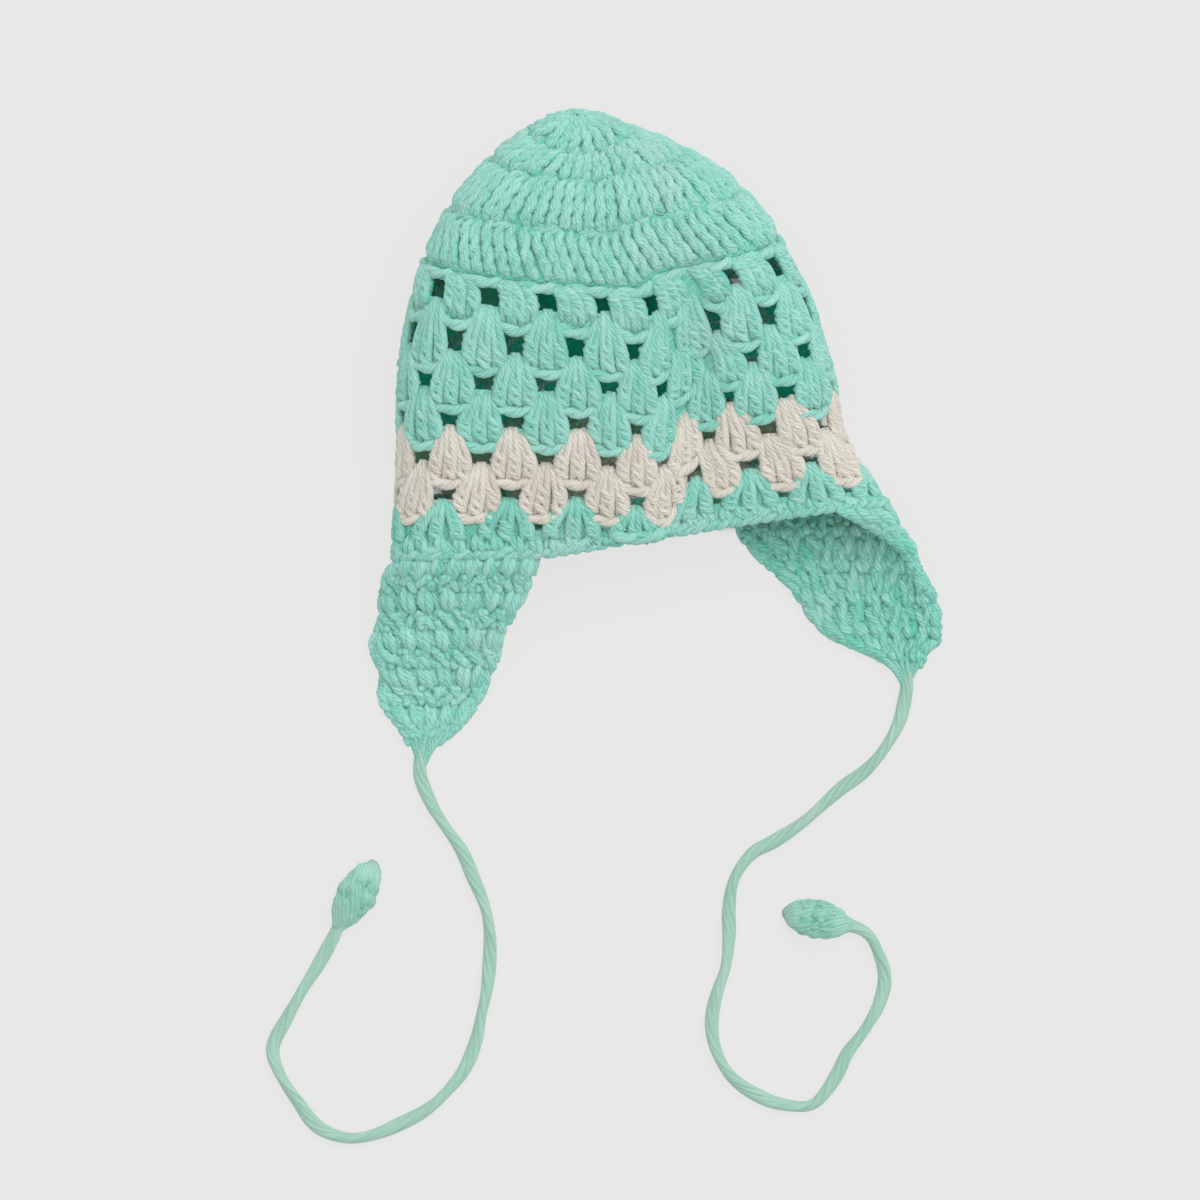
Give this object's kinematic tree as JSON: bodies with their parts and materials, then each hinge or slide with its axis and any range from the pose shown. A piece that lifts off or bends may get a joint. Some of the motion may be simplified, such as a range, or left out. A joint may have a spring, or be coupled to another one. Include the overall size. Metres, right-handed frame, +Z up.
{
  "type": "crocheted baby cap with ear flaps and ties",
  "caption": "Soft crocheted baby cap lying on its back, with a domed crown, openwork body, contrast band, ear flaps and tie cords ending in bobbles.",
  "frame": {"origin": "middle of the cap's footprint on the surface it lies on, tie cords and bobbles left out", "axes": "+Z up from the surface, through the front of the cap; +Y from the rim to the top of the crown; +X to the viewer's right"},
  "size_m": [0.2429, 0.3714, 0.047],
  "materials": {
    "mint_yarn": "soft matte wool yarn, mint green",
    "off_white_yarn": "soft matte wool yarn, off-white with a faint pink",
    "mint_cord": "matte cord worked from mint yarn"
  },
  "bodies": {
    "root": {"crown": "mint_yarn", "lace_body": "mint_yarn", "white_band": "off_white_yarn", "brim_band": "mint_yarn", "ear_flap_left": "mint_yarn", "ear_flap_right": "mint_yarn", "tie_left": "mint_cord", "tie_right": "mint_cord", "bud_left": "mint_yarn", "bud_right": "mint_yarn"}
  },
  "joints": []
}
